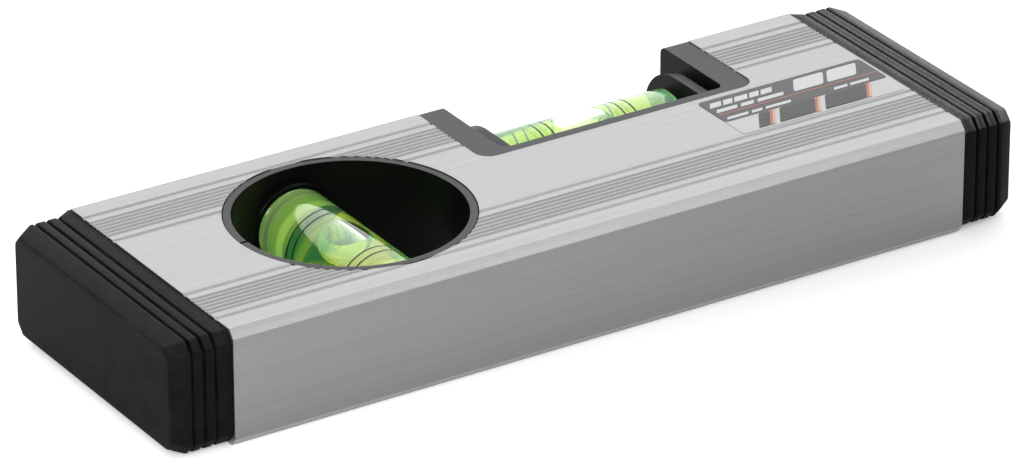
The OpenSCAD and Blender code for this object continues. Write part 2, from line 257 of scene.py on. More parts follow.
@dataclass(frozen=True)
class BrushedAluminium(Finish):
    """Satin anodised extrusion, with faint die lines along X and painted shade on its narrow faces.

    Args:
        colour: Base colour of the anodised broad faces.
        shaded_narrow: Darker base colour of the narrow faces, which do the measuring: painted shade, so that
            they read darker than the broad faces.
        shaded_narrow_from: Sideways part of the normal where the painted shade starts, and where it is full.
        metallic: Share of metal.
        roughness: Mean roughness.
        spread: How far the grain moves the roughness.
        streak: How far the die lines darken and lighten the metal.
        streak_at: Summed noise where they darken and lighten it.
        line_depth: Depth of the die lines in metres.
        edge: Radius that the edges look rounded by, in metres.
    """

    colour: Colour = (0.28, 0.284, 0.281)
    shaded_narrow: Colour = (0.222, 0.226, 0.223)
    shaded_narrow_from: Span = (0.85, 0.95)
    metallic: float = 0.95
    roughness: float = 0.40
    spread: float = 0.04
    streak: float = 0.05
    streak_at: Span = (0.75, 1.25)
    line_depth: float = 0.0000012
    edge: float = 0.00012

    def paint(self, board: NodeBoard) -> None:
        """Wires the finish on an empty board."""
        fine = board.noise((60.0, 6500.0, 6500.0), detail=2.0)
        broad = board.noise((5.0, 900.0, 900.0), detail=3.0)
        grain = board.noise((900.0, 9000.0, 9000.0), detail=1.0)
        lines = board.maths("ADD", fine, broad)
        # Painted shade: the narrow faces get a darker base colour so that they read darker than the broad top.
        narrow = board.span(board.maths("ABSOLUTE", board.facing(Y)), 0.0, 1.0, self.shaded_narrow_from)
        metal = board.mix(narrow, self.colour, self.shaded_narrow)
        shade = board.span(lines, 1 - self.streak, 1 + self.streak, self.streak_at)
        streaked = board.add("VectorMath", {0: metal, "Scale": shade}, operation="SCALE")
        board.shade({
            "Base Color": streaked.outputs["Vector"],
            "Metallic": self.metallic,
            "Roughness": board.span(grain, self.roughness - self.spread, self.roughness + self.spread),
            "Normal": board.bump(lines, self.line_depth, board.soft_edges(self.edge)),
        })


@dataclass(frozen=True)
class MouldedRubber(Finish):
    """Matt black rubber with scuffs in clouds, a fine speckle, and pale dusting with painted sheen on what
    faces up.

    Args:
        dust_and_sheen: Strength of the pale dusting and painted sheen on the upper side, which make the tops
            read lighter.
        scuffed: Colour of the palest scuffs.
        end_dust_and_sheen: How many times stronger the dusting and painted sheen lie on the taper towards the
            end.
        side_scuffs: Share of the scuffs on what doesn't face along the beam.
        colour: Base colour.
        dust_and_sheen_colour: Colour of the dusting and the painted sheen.
        up: Upward part of the normal where the dusting and painted sheen start, and where they are full.
        tapered: Endward part of the normal on the straight skin, and on the taper.
        endwards: Endward part of the normal where side scuffs end, and where end scuffs are full.
        scuffs_at: Cloud value where scuffs start, and where they are palest.
        speckle: Strength of both in the darkest and in the palest grain.
        roughness: Roughness in the darkest and in the palest cloud.
        specular: Strength of the surface reflection.
        grain_depth: Depth of the grain in metres.
        edge: Radius that the edges look rounded by, in metres.
    """

    dust_and_sheen: float
    scuffed: Colour
    end_dust_and_sheen: float = 1.0
    side_scuffs: float = 0.35
    colour: Colour = (0.0025, 0.0026, 0.0027)
    dust_and_sheen_colour: Colour = (0.13, 0.132, 0.14)
    up: Span = (0.35, 1.0)
    tapered: Span = (0.0, 0.4)
    endwards: Span = (0.2, 0.9)
    scuffs_at: Span = (0.40, 0.72)
    speckle: Span = (0.45, 1.45)
    roughness: Span = (0.54, 0.68)
    specular: float = 0.055
    grain_depth: float = 0.000014
    edge: float = 0.00015

    def paint(self, board: NodeBoard) -> None:
        """Wires the finish on an empty board."""
        grain = board.noise(4200.0, detail=2.0)
        cloud = board.noise(210.0, detail=6.0, roughness=0.65)
        speckle = board.span(grain, *self.speckle)
        along = board.maths("ABSOLUTE", board.facing(X))
        # Painted sheen: upward faces and the taper get a paler colour, partly real dust, partly the sheen of
        # light from above.
        dust_and_sheen_mask = board.maths("MULTIPLY", board.span(board.facing(Z), 0.0, self.dust_and_sheen, self.up),
                            board.span(along, 1.0, self.end_dust_and_sheen, self.tapered))
        knocked = board.maths("MULTIPLY", board.span(cloud, 0.0, 1.0, self.scuffs_at),
                              board.span(along, self.side_scuffs, 1.0, self.endwards))
        scuff = board.mix(board.maths("MULTIPLY", knocked, speckle), self.colour, self.scuffed)
        patchy = board.maths("MULTIPLY", board.maths("MULTIPLY", dust_and_sheen_mask, speckle), board.span(cloud, 0.7, 1.1))
        board.shade({
            "Base Color": board.mix(patchy, scuff, self.dust_and_sheen_colour),
            "Roughness": board.span(cloud, *self.roughness),
            "Specular IOR Level": self.specular,
            "Normal": board.bump(grain, self.grain_depth, board.soft_edges(self.edge)),
        })


@dataclass(frozen=True)
class MouldedPlastic(Finish):
    """Black moulded plastic, paler on what faces up and along its upper edges: partly haze from handling and
    polished edges, partly painted sheen and painted edge highlights.

    Args:
        colour: Base colour.
        haze_and_sheen: Paler colour of the faces that face up and of their edges, partly haze from handling,
            partly painted sheen and highlight.
        haze_and_sheen_from: Least height of those faces in metres.
        roughness: Mean roughness.
        specular: Strength of the surface reflection.
        grain_depth: Depth of the spark-eroded grain in metres.
        haze_and_sheen_blend: Half the height over which the paler colour fades in, in metres.
        up: Upward part of the normal where the paler colour starts, and where it is full.
        spread: How far the clouds move the roughness.
        edge: Radius that the edges look rounded by, in metres.
        edge_wear_and_highlight: Share of the paler colour on the edges, partly wear, partly painted highlight.
    """

    colour: Colour
    haze_and_sheen: Colour
    haze_and_sheen_from: float
    roughness: float
    specular: float
    grain_depth: float
    haze_and_sheen_blend: float = 0.0001
    up: Span = (0.1, 1.0)
    spread: float = 0.04
    edge: float = 0.0002
    edge_wear_and_highlight: float = 0.5

    def paint(self, board: NodeBoard) -> None:
        """Wires the finish on an empty board."""
        grain = board.noise(4200.0, detail=2.0)
        cloud = board.noise(90.0, detail=3.0)
        high = board.span(board.place(Z), 0.0, 1.0, (self.haze_and_sheen_from - self.haze_and_sheen_blend,
                                                       self.haze_and_sheen_from + self.haze_and_sheen_blend))
        haze_and_sheen_mask = board.maths("MULTIPLY", board.span(board.facing(Z), 0.0, 1.0, self.up),
                            board.span(cloud, 0.85, 1.1))
        # Painted sheen and highlight: upward faces and upper edges get a paler colour, partly real haze and
        # wear.
        wear_and_highlight_mask = board.maths("ADD", haze_and_sheen_mask, board.edge_mask(self.edge, self.edge_wear_and_highlight))
        board.shade({
            "Base Color": board.mix(board.maths("MULTIPLY", wear_and_highlight_mask, high), self.colour, self.haze_and_sheen),
            "Roughness": board.span(cloud, self.roughness - self.spread, self.roughness + self.spread),
            "Specular IOR Level": self.specular,
            "Normal": board.bump(grain, self.grain_depth, board.soft_edges(self.edge)),
        })


@dataclass(frozen=True)
class ClearAcrylic(Finish):
    """Polished see-through acrylic.

    Args:
        colour: Tint of the light that passes each surface.
        ripple_depth: Depth of the faint moulding ripple in metres.
        ior: Index of refraction.
    """

    colour: Colour
    ripple_depth: float = 0.000004
    ior: float = ACRYLIC_IOR

    def paint(self, board: NodeBoard) -> None:
        """Wires the finish on an empty board."""
        ripple = board.noise(220.0, detail=1.0)
        board.shade({
            "Base Color": (*self.colour, 1.0),
            "Roughness": 0.0,
            "IOR": self.ior,
            "Transmission Weight": 1.0,
            "Normal": board.bump(ripple, self.ripple_depth),
        })


@dataclass(frozen=True)
class BondedPlug(Finish):
    """Clear tinted plug whose inner face carries the mottled bond to the vial, with a painted highlight on
    that face and a painted glow over the whole plug.

    Args:
        colour: Tint of the light that passes each surface.
        cloudy: Share of the light that the plug scatters.
        bond_and_highlight: Colour of the inner face, partly the bond to the vial, partly a painted highlight;
            also the colour of the painted glow.
        bond_and_highlight_clear: Share of the light that passes the inner face.
        glow: Strength of the painted glow that the whole plug gives off, standing for the dye's light piped
            into the vial's end.
        run: The vial that it closes.
        film: Depth of the bond in metres.
        fade: Depth where the bond has ended, as a multiple of that.
        mottled: Share of the bond in its thinnest patches.
        ior: Index of refraction.
    """

    colour: Colour
    cloudy: float
    bond_and_highlight: Colour
    bond_and_highlight_clear: float
    glow: float
    run: Run
    film: float = 0.00028
    fade: float = 1.2
    mottled: float = 0.55
    ior: float = ACRYLIC_IOR

    def paint(self, board: NodeBoard) -> None:
        """Wires the finish on an empty board."""
        mottle = board.noise(900.0, detail=3.0)
        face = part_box(self.run.value + "_vial_plug")[0][self.run.axis]
        bond_and_highlight_mask = board.span(board.place(self.run.axis), 1.0, 0.0,
                            (face + self.film, face + self.fade * self.film))
        patchy = board.maths("MULTIPLY", bond_and_highlight_mask, board.span(mottle, self.mottled, 1.0))
        board.shade({
            # Painted highlight: a pale mottled band on the inner face, partly the real bond; the whole plug
            # also glows in this colour as painted light.
            "Base Color": board.mix(patchy, self.colour, self.bond_and_highlight),
            "Roughness": 0.0,
            "IOR": self.ior,
            "Transmission Weight": board.span(bond_and_highlight_mask, 1.0 - self.cloudy, self.bond_and_highlight_clear, (0.0, 1.0)),
            "Emission Color": (*self.bond_and_highlight, 1.0),
            "Emission Strength": self.glow,
        })


@dataclass(frozen=True)
class DyedLiquid(Finish):
    """Yellow-green dyed spirit, clear but for its dye, with a painted glow.

    Args:
        colour: Tint at the surface.
        dye: Colour that the volume lets through.
        glow: Strength of the painted glow over the whole liquid, standing for the dye's fluorescence.
        gleam: Colour of that painted glow.
        run: The vial that it fills.
        lit: Colour of a brighter painted glow in a band near each end of the bore.
        lit_glow: Strength of that painted glow.
        lit_span: Nearest and furthest distance of that band from the middle, in metres.
        lit_soft: Half the length of its near and of its far fade, in metres.
        density: Strength of the dye per metre.
        swirl: Share of the tint in the darkest swirls.
        cloudy: Share of the light that the dye scatters at the surface.
        ior: Index of refraction.
    """

    colour: Colour
    dye: Colour
    glow: float
    gleam: Colour
    run: Run
    lit: Colour = (0.50, 0.95, 0.30)
    lit_glow: float = 0.26
    lit_span: Span = (0.0104, 0.0124)
    lit_soft: Span = (0.00015, 0.00045)
    density: float = 330.0
    swirl: float = 0.92
    cloudy: float = 0.04
    ior: float = 1.37

    def paint(self, board: NodeBoard) -> None:
        """Wires the finish on an empty board."""
        swirls = board.noise(160.0, detail=2.0)
        dark = tuple(self.swirl * c for c in self.colour)
        low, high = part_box(self.run.value + "_vial_liquid")
        middle = (low + high)[self.run.axis] / 2
        along = board.maths("ABSOLUTE", board.maths("SUBTRACT", board.place(self.run.axis), middle))
        starts, ends = ((at - soft, at + soft) for at, soft in zip(self.lit_span, self.lit_soft))
        # Painted light: a brighter band of glow near each end of the bore, on top of the painted glow over the
        # whole liquid.
        lit = board.maths("MULTIPLY", board.span(along, 0.0, 1.0, starts), board.span(along, 1.0, 0.0, ends))
        board.shade({
            "Base Color": board.mix(board.span(swirls, 0.0, 1.0), dark, self.colour),
            "Roughness": 0.0,
            "IOR": self.ior,
            "Transmission Weight": 1.0 - self.cloudy,
            "Emission Color": board.mix(lit, self.gleam, self.lit),
            "Emission Strength": board.span(lit, self.glow, self.lit_glow, (0.0, 1.0)),
        })
        absorb = board.add("VolumeAbsorption", {"Color": (*self.dye, 1.0), "Density": self.density})
        board.hand_over(absorb, "Volume")


@dataclass(frozen=True)
class PrintInk(Finish):
    """Flat screen-printed ink or film.

    Args:
        colour: Base colour.
        roughness: Mean roughness.
        metallic: Share of metal in the film.
        specular: Strength of the surface reflection.
        specks: Shade of the darkest and of the palest specks.
        spread: How far the specks move the roughness.
    """

    colour: Colour
    roughness: float = 0.4
    metallic: float = 0.0
    specular: float = 0.35
    specks: Span = (0.93, 1.05)
    spread: float = 0.05

    def paint(self, board: NodeBoard) -> None:
        """Wires the finish on an empty board."""
        speck = board.noise(3000.0, detail=2.0)
        dark, light = (tuple(min(1.0, shade * c) for c in self.colour) for shade in self.specks)
        board.shade({
            "Base Color": board.mix(board.span(speck, 0.0, 1.0), dark, light),
            "Roughness": board.span(speck, self.roughness - self.spread, self.roughness + self.spread),
            "Metallic": self.metallic,
            "Specular IOR Level": self.specular,
        })


@dataclass(frozen=True)
class StudioFloor(Finish):
    """Plain pale sweep under the tool.

    Args:
        colour: Base colour.
        glow: Light that the sweep gives off at its left and at its right, as a table lit from below does.
        reach: Distance from the middle to where each of them holds, in metres.
        roughness: Roughness.
        specular: Strength of the surface reflection.
    """

    colour: Colour = (0.93, 0.93, 0.93)
    glow: Span = (0.40, 0.22)
    reach: float = 0.09
    roughness: float = 0.9
    specular: float = 0.1

    def paint(self, board: NodeBoard) -> None:
        """Wires the finish on an empty board."""
        across = board.place(X)
        board.shade({
            "Base Color": (*self.colour, 1.0),
            "Roughness": self.roughness,
            "Specular IOR Level": self.specular,
            "Emission Color": (1.0, 1.0, 1.0, 1.0),
            "Emission Strength": board.span(across, *self.glow, (-self.reach, self.reach)),
        })


class Finishes:
    """Every finish of the tool, built once."""

    def __init__(self) -> None:
        """Builds the materials."""
        self.aluminium = BrushedAluminium("brushed_aluminium").build()
        # The right cap's heavier dusting is partly painted sheen, which makes its top read lighter than the
        # left one.
        self.rubbers = {
            Side.LEFT: MouldedRubber("left_cap_rubber", 0.10, (0.012, 0.013, 0.0124)).build(),
            Side.RIGHT: MouldedRubber("right_cap_rubber", 0.40, (0.007, 0.007, 0.0072), end_dust_and_sheen=5.0).build(),
        }
        # Each plastic's second colour is paler haze on upward faces and upper edges, partly painted sheen and
        # highlight.
        self.liner = MouldedPlastic("liner_plastic", (0.003, 0.003, 0.003), (0.05, 0.05, 0.052), 0.0186,
                                    0.32, 0.08, 0.000002).build()
        self.cradle = MouldedPlastic("cradle_plastic", (0.004, 0.004, 0.0045), (0.074, 0.074, 0.080), 0.001,
                                     0.45, 0.09, 0.000006).build()
        self.acrylic = ClearAcrylic("clear_acrylic", (0.90, 0.92, 0.86)).build()
        # The plumb plug's yellow-green tint and scattering are painted light, standing for the dye's light
        # piped into the vial's end.
        self.plugs = {
            Run.ACROSS: BondedPlug("plumb_plug_acrylic", (0.46, 0.68, 0.17), 0.6, (0.60, 0.86, 0.38),
                                   0.1, 0.10, Run.ACROSS).build(),
            Run.ALONG: BondedPlug("level_plug_acrylic", (0.26, 0.62, 0.32), 0.0, (0.36, 0.62, 0.26),
                                  0.8, 0.01, Run.ALONG).build(),
        }
        self.liquids = {
            Run.ACROSS: DyedLiquid("plumb_green_liquid", (1.0, 1.0, 0.62), (0.99, 0.952, 0.06), 0.075,
                                   (0.06, 0.95, 0.42), Run.ACROSS).build(),
            Run.ALONG: DyedLiquid("level_green_liquid", (1.0, 1.0, 0.57), (0.79, 0.88, 0.06), 0.09,
                                  (0.06, 0.95, 0.52), Run.ALONG, (0.06, 0.95, 0.52), 0.09).build(),
        }
        self.ring = PrintInk("ring_ink", (0.008, 0.03, 0.012), 0.5).build()
        self.film = PrintInk("label_film", (0.31, 0.313, 0.312), 0.42, 0.9, 0.5).build()
        self.field = PrintInk("label_grey", (0.030, 0.030, 0.034), 0.4).build()
        self.white = PrintInk("label_white", (0.50, 0.51, 0.51), 0.45).build()
        self.orange = PrintInk("label_orange", (0.34, 0.105, 0.06), 0.45).build()
        self.pale_orange = PrintInk("label_pale_orange", (0.50, 0.30, 0.23), 0.45).build()
        self.black = PrintInk("label_black", (0.02, 0.02, 0.023), 0.45).build()


def dress(piece: bpy.types.Object, material: bpy.types.Material) -> None:
    """Gives a piece one material."""
    piece.data.materials.clear()
    piece.data.materials.append(material)


class Bench:
    """The hand steps that shape a new piece, each one a Blender operator."""

    @staticmethod
    def clear() -> None:
        """Leaves object mode with nothing selected."""
        if bpy.context.mode != "OBJECT":
            bpy.ops.object.mode_set(mode="OBJECT")
        bpy.ops.object.select_all(action="DESELECT")

    @staticmethod
    def hold(piece: bpy.types.Object) -> None:
        """Selects one piece alone and makes it the active one.

        Args:
            piece: The piece.
        """
        Bench.clear()
        piece.select_set(True)
        bpy.context.view_layer.objects.active = piece

    @staticmethod
    def apply() -> None:
        """Moves the selected piece's place, turn and scale into its mesh."""
        bpy.ops.object.transform_apply(location=True, rotation=True, scale=True)

    @staticmethod
    def keep(name: str, piece: bpy.types.Object) -> bpy.types.Object:
        """Names a finished piece and its mesh.

        Args:
            name: Name for both.
            piece: The piece.

        Returns:
            The same piece.
        """
        piece.name = name
        piece.data.name = name
        return piece

    @staticmethod
    def settle(piece: bpy.types.Object, place: Matrix) -> None:
        """Puts a piece in place and moves that place into its mesh.

        Args:
            piece: The piece, modelled about its own origin.
            place: Where it goes.
        """
        Bench.hold(piece)
        piece.matrix_world = place
        Bench.apply()

    @staticmethod
    def turn_profile(name: str, profile: Profile, steps: int, closed: bool = False) -> bpy.types.Object:
        """Draws a ring and extrudes it along a profile, as on a lathe, about +Z.

        Args:
            name: Name of the piece.
            profile: Radius and height of each ring.
            steps: Sides of the ring.
            closed: True joins the last ring to the first, False closes both ends with faces.

        Returns:
            The piece, about the origin.
        """
        Bench.clear()
        radius, height = profile[0]
        bpy.ops.mesh.primitive_circle_add(vertices=steps, radius=radius, location=(0, 0, height),
                                          fill_type="NOTHING" if closed else "NGON")
        piece = bpy.context.object
        bpy.ops.object.mode_set(mode="EDIT")
        bpy.ops.mesh.select_all(action="SELECT")
        for next_radius, next_height in profile[1:] + (profile[:1] if closed else []):
            bpy.ops.mesh.extrude_region_move(
                TRANSFORM_OT_translate={"value": (0, 0, next_height - height)})
            ratio = next_radius / radius
            bpy.ops.transform.resize(value=(ratio, ratio, 1), center_override=(0, 0, next_height))
            radius, height = next_radius, next_height
        bpy.ops.mesh.select_all(action="SELECT")
        bpy.ops.mesh.remove_doubles(threshold=WELD)
        bpy.ops.mesh.normals_make_consistent(inside=False)
        bpy.ops.object.mode_set(mode="OBJECT")
        Bench.apply()
        bpy.ops.object.shade_smooth_by_angle(angle=SMOOTH_ANGLE)
        return Bench.keep(name, piece)

    @staticmethod
    def carve(piece: bpy.types.Object, tool: bpy.types.Object) -> None:
        """Cuts a tool out of a piece and takes the tool away.

        Args:
            piece: The piece.
            tool: A closed shape, which is deleted.
        """
        Bench.hold(piece)
        cut = piece.modifiers.new("cut", "BOOLEAN")
        cut.operation = "DIFFERENCE"
        cut.solver = "EXACT"
        cut.object = tool
        bpy.ops.object.modifier_apply(modifier=cut.name)
        bpy.data.objects.remove(tool, do_unlink=True)
        bpy.ops.object.shade_smooth_by_angle(angle=SMOOTH_ANGLE)

    @staticmethod
    def round_edges(piece: bpy.types.Object, width: float, segments: int, angle: float) -> None:
        """Rounds the edges sharper than an angle.

        Args:
            piece: The piece.
            width: Width of the rounding in metres.
            segments: Faces across it.
            angle: Least angle in degrees between the faces.
        """
        Bench.hold(piece)
        bevel = piece.modifiers.new("edge_rounding", "BEVEL")
        bevel.width = width
        bevel.segments = segments
        bevel.limit_method = "ANGLE"
        bevel.angle_limit = math.radians(angle)
        bevel.harden_normals = False
        bpy.ops.object.modifier_apply(modifier=bevel.name)
        bpy.ops.object.shade_smooth_by_angle(angle=SMOOTH_ANGLE)


@dataclass
class EndCap:
    """Moulded cap: chamfered section, three grooves, a taper and a rounded end face. Sizes in metres."""

    side: Side
    finishes: Finishes
    grooves: int = 3
    first_groove: float = 2.75 * MM
    groove_pitch: float = 1.95 * MM
    groove_mouth: float = 0.58 * MM
    groove_floor: float = 0.26 * MM
    groove_depth: float = 0.55 * MM
    taper_length: float = 2.6 * MM
    taper_in: Span = (1.25 * MM, 1.0 * MM)
    corner: float = 1.5 * MM
    plug_length: float = 8.0 * MM
    plug_in: float = 1.6 * MM
    corner_rounding: float = 0.3 * MM
    end_rounding: float = 0.35 * MM
    end_steps: tuple[float, ...] = (0, 22, 45, 67, 90)
    rounding: float = 0.13 * MM
    rounded_above: float = 26.0
    corner_fill: float = 0.8

    def __post_init__(self) -> None:
        """Reads the cap's box from the frame."""
        self.node = self.side.value + "_end_cap"
        low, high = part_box(self.node)
        self.half = (high - low) / 2
        self.middle = (low.z + high.z) / 2
        self.seat = (high.x - low.x) - self.plug_length
        self.mouth = max(-low.x, high.x) - self.seat

    def stations(self) -> list[Triple]:
        """Lists the rings of the cap from its mouth outwards.

        Returns:
            Each ring's distance from the beam's end, and its step in across and in thickness.
        """
        rings = [(0.0, 0.0, 0.0)]
        for k in range(self.grooves):
            centre = self.first_groove + k * self.groove_pitch
            for offset, step in ((-self.groove_mouth / 2, 0.0), (-self.groove_floor / 2, self.groove_depth),
                                 (self.groove_floor / 2, self.groove_depth), (self.groove_mouth / 2, 0.0)):
                rings.append((centre + offset, step, step))
        rings.append((self.seat - self.taper_length, 0.0, 0.0))
        for angle in (math.radians(step) for step in self.end_steps):
            along = self.taper_length - self.end_rounding * (1 - math.sin(angle))
            inwards = self.end_rounding * (1 - math.cos(angle))
            rings.append((self.seat - self.taper_length + along,
                          *(step * along / self.taper_length + inwards for step in self.taper_in)))
        return rings

    def build(self) -> None:
        """Models the cap from its hidden plug outwards."""
        Bench.clear()
        start = self.mouth - self.plug_length
        bpy.ops.mesh.primitive_plane_add(size=1, location=(start, 0, self.middle),
                                         rotation=(0, math.radians(90), 0))
        piece = bpy.context.object
        half_y, half_z = self.half.y - self.plug_in, self.half.z - self.plug_in
        piece.scale = (2 * half_z, 2 * half_y, 1)
        Bench.apply()
        bpy.ops.object.mode_set(mode="EDIT")
        for width, segments in ((self.corner, 1), (self.corner_rounding, 3)):
            bpy.ops.mesh.select_all(action="SELECT")
            bpy.ops.mesh.bevel(offset=width, segments=segments, affect="VERTICES")
        bpy.ops.mesh.select_all(action="SELECT")
        self.extrude_to(self.plug_length, start, (1.0, 1.0))
        place = self.mouth
        for distance, in_y, in_z in self.stations():
            goal = (self.half.y - in_y, self.half.z - in_z)
            self.extrude_to(self.mouth + distance - place, place, (goal[0] / half_y, goal[1] / half_z))
            half_y, half_z = goal
            place = self.mouth + distance
        bpy.ops.mesh.select_all(action="SELECT")
        bpy.ops.mesh.normals_make_consistent(inside=False)
        bpy.ops.object.mode_set(mode="OBJECT")
        Bench.round_edges(piece, self.rounding, segments=2, angle=self.rounded_above)
        if self.side is Side.LEFT:
            Bench.settle(piece, Matrix.Rotation(math.radians(180), 4, "Z"))
        self.fill_far_corners(piece)
        Bench.keep(self.node + "_moulding", piece)
        dress(piece, self.finishes.rubbers[self.side])
        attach(piece, BODY)
        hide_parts(self.node)
        log.info("%s: %d faces", piece.name, len(piece.data.polygons))

    def fill_far_corners(self, piece: bpy.types.Object) -> None:
        """Brings the mouth's two corners on the notched edge's side out to the beam's square ones.

        Args:
            piece: The cap, in place.
        """
        reach = self.corner + self.corner_rounding
        for vertex in piece.data.vertices:
            across = self.half.y - vertex.co.y
            upward = vertex.co.z - self.middle
            below = self.half.z - abs(upward)
            if abs(abs(vertex.co.x) - self.mouth) < self.rounding * 2 and across < reach and below < reach:
                vertex.co.y += self.corner_fill * across
                vertex.co.z += math.copysign(self.corner_fill * below, upward)

    def extrude_to(self, distance: float, place: float, ratio: Span) -> None:
        """Extrudes the selected face along X and scales it about the axis.

        Args:
            distance: Length of the step.
            place: Where the face is now.
            ratio: Scale across and in thickness.
        """
        bpy.ops.mesh.extrude_region_move(TRANSFORM_OT_translate={"value": (distance, 0, 0)})
        bpy.ops.transform.resize(value=(1, *ratio), center_override=(place + distance, 0, self.middle))


@dataclass
class Vial:
    """Acrylic body with a barrel bore, liquid and bubble, end plug and indicator rings. Sizes in metres."""

    run: Run
    finishes: Finishes
    ring_places: Span
    bubble_half: float
    bubble_at: float = 0.0
    pin_radius: float = 3.0 * MM
    bore_middle: float = 5.0 * MM
    bore_end: float = 4.6 * MM
    soft_end: float = 0.5 * MM
    soft_steps: tuple[float, ...] = (0, 30, 60, 90)
    ring_width: float = 0.25 * MM
    ring_depth: float = 0.15 * MM
    ring_proud: float = 0.005 * MM
    bubble_radius: float = 3.0 * MM
    bubble_up: float = 3.0 * MM
    overlap: float = 0.02 * MM
    steps: int = 96
    bore_rings: int = 16

    def __post_init__(self) -> None:
        """Reads the vial's place and size from the frame."""
        self.prefix = self.run.value
        first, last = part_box(self.prefix + "_ring_1"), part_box(self.prefix + "_ring_4")
        self.centre = (first[0] + last[1]) / 2
        self.radius = (last[1].z - last[0].z) / 2
        axis = self.run.axis
        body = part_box(self.prefix + "_vial_body")
        self.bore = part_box(self.prefix + "_vial_liquid")[1][axis] - self.centre[axis]
        self.pin_end = self.centre[axis] - body[0][axis]
        self.half = body[1][axis] - self.centre[axis]
        self.place = Matrix.Translation(self.centre) @ self.run.turn()

    def bore_at(self, height: float) -> float:
        """Radius of the barrel bore at a height from mid length."""
        return self.bore_middle - (self.bore_middle - self.bore_end) * (height / self.bore) ** 2

    def barrel(self, grow: float) -> Profile:
        """Rings of the barrel bore from the bottom up, grown by a margin."""
        heights = [-self.bore + 2 * self.bore * k / self.bore_rings for k in range(self.bore_rings + 1)]
        return [(self.bore_at(h) + grow, h * (1 + grow / self.bore)) for h in heights]

    def finish(self, piece: bpy.types.Object, node: str, material: bpy.types.Material) -> None:
        """Places a piece, dresses it and lets it stand for its node.

        Args:
            piece: The piece, modelled about the vial's own axes.
            node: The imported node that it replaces.
            material: Its finish.
        """
        Bench.settle(piece, self.place)
        dress(piece, material)
        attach(piece, BODY)
        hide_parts(node)
        log.info("%s: %d faces", piece.name, len(piece.data.polygons))

    def build_body(self) -> None:
        """Models the clear body with its pin below, open at the top of its bore for the plug."""
        soft = self.soft_end
        arc = [(soft * (1 - math.sin(math.radians(a))), soft * (1 - math.cos(math.radians(a))))
               for a in self.soft_steps]
        bottom = [(self.radius - across, along - self.half) for across, along in arc]
        profile = [(self.pin_radius, -self.pin_end), (self.pin_radius, -self.half), *bottom,
                   *[(r, -h) for r, h in reversed(bottom)], (self.bore_end, self.half),
                   *reversed(self.barrel(0.0))]
        piece = Bench.turn_profile(self.prefix + "_vial_clear_body", profile, self.steps)
        self.finish(piece, self.prefix + "_vial_body", self.finishes.acrylic)

    def build_liquid(self) -> None:
        """Models the liquid and cuts the bubble out of the top of it."""
        piece = Bench.turn_profile(self.prefix + "_vial_dyed_liquid", self.barrel(self.overlap), self.steps)
        Bench.clear()
        bpy.ops.mesh.primitive_uv_sphere_add(segments=64, ring_count=40, radius=1.0)
        bubble = bpy.context.object
        bubble.scale = (self.bubble_radius, self.bubble_radius, self.bubble_half)
        bubble.location = (0, -self.bubble_up, self.bubble_at)
        Bench.apply()
        Bench.carve(piece, bubble)
        self.finish(piece, self.prefix + "_vial_liquid", self.finishes.liquids[self.run])

    def build_plug(self) -> None:
        """Models the plug that closes the bore, with its pin."""
        radius = self.bore_end + self.overlap
        profile = [(radius, self.bore), (radius, self.half),
                   (self.pin_radius, self.half), (self.pin_radius, self.pin_end)]
        piece = Bench.turn_profile(self.prefix + "_vial_end_plug", profile, self.steps)
        self.finish(piece, self.prefix + "_vial_plug", self.finishes.plugs[self.run])

    def build_rings(self) -> None:
        """Models the four indicator rings, each a closed band sunk in the body."""
        inner, outer = self.radius - self.ring_depth, self.radius + self.ring_proud
        half = self.ring_width / 2
        near, far = self.ring_places
        for number, place in enumerate((-far, -near, near, far), start=1):
            low, high = place - half, place + half
            band = [(inner, low), (outer, low), (outer, high), (inner, high)]
            node = f"{self.prefix}_ring_{number}"
            piece = Bench.turn_profile(node + "_band", band, self.steps, closed=True)
            self.finish(piece, node, self.finishes.ring)

    def build(self) -> None:
        """Models every piece of the vial."""
        self.build_body()
        self.build_liquid()
        self.build_plug()
        self.build_rings()


